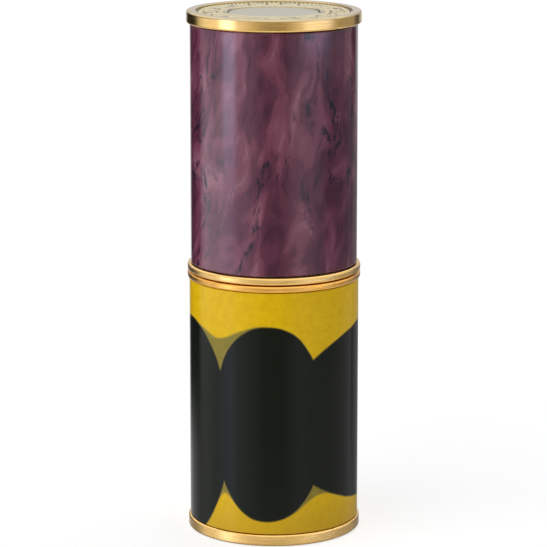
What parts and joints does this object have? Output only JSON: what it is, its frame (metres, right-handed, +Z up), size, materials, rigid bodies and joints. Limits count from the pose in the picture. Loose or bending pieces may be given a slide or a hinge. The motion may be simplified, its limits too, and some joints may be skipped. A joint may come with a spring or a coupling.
{
  "type": "lipstick case",
  "caption": "Cylindrical refillable lipstick case: weighted printed base, marbled pull-off cap with gold rings and a stamped top, and a cartridge whose shell turns to raise the stick.",
  "frame": {"origin": "centre of the circle that the foot ring stands on", "axes": "+Z up along the case's axis, the way the cap pulls off; +X is the side on which the lipstick's slanted face is low"},
  "size_m": [0.025, 0.025, 0.0757],
  "materials": {
    "gold_band": "satin gold plating, brushed round the ring",
    "gold_sheet": "gold anodised, satin",
    "stamped_gold": "pale gold anodised, stamped",
    "marbled_resin": "polished, purple with dark vertical streaks",
    "printed_sleeve": "lacquered print, mustard with large black ovals",
    "socket_plastic": "moulded, fine satin",
    "mechanism_plastic": "moulded, ivory",
    "steel_slug": "turned",
    "magnet": "nickel plated",
    "seal_rubber": "soft",
    "lipstick_wax": "satin wax"
  },
  "bodies": {
    "base": {"foot_ring": "gold_band", "bottom_plate": "gold_sheet", "base_weight": "steel_slug", "base_sleeve": "printed_sleeve", "base_body": "socket_plastic", "neck_collar": "gold_sheet", "closure_magnet": "magnet", "base_top_ring": "gold_band"},
    "cartridge": {"refill_holder": "socket_plastic", "holder_o_ring": "seal_rubber", "guide_tube": "mechanism_plastic", "brake_ring": "seal_rubber"},
    "cap": {"cap_bottom_ring": "gold_band", "cap_catch_ring": "steel_slug", "cap_sleeve": "marbled_resin", "cap_liner": "gold_sheet", "cap_top_band": "gold_band", "cap_weight": "steel_slug", "cap_medallion": "stamped_gold"},
    "swivel": {"spiral_sleeve": "mechanism_plastic", "swivel_shell": "gold_sheet"},
    "stick": {"lipstick_cup": "mechanism_plastic", "lipstick_bullet": "lipstick_wax"}
  },
  "joints": [
    {"name": "cartridge_lift", "type": "slide", "parent": "base", "child": "cartridge", "axis": [0, 0, 1], "range_m": [0, 0.036]},
    {"name": "cap_lift", "type": "slide", "parent": "cartridge", "child": "cap", "axis": [0, 0, 1], "range_m": [0, 0.04]},
    {"name": "shell_swivel", "type": "hinge", "parent": "cartridge", "child": "swivel", "pos_m": [0, 0, 0.0386], "axis": [0, 0, -1], "range_deg": [0, 450]},
    {"name": "stick_rise", "type": "slide", "parent": "cartridge", "child": "stick", "axis": [0, 0, 1], "range_m": [0, 0.016]}
  ],
  "couplings": [
    {"joint": "stick_rise", "follows": "shell_swivel", "m_per_rad": 0.0020372}
  ]
}
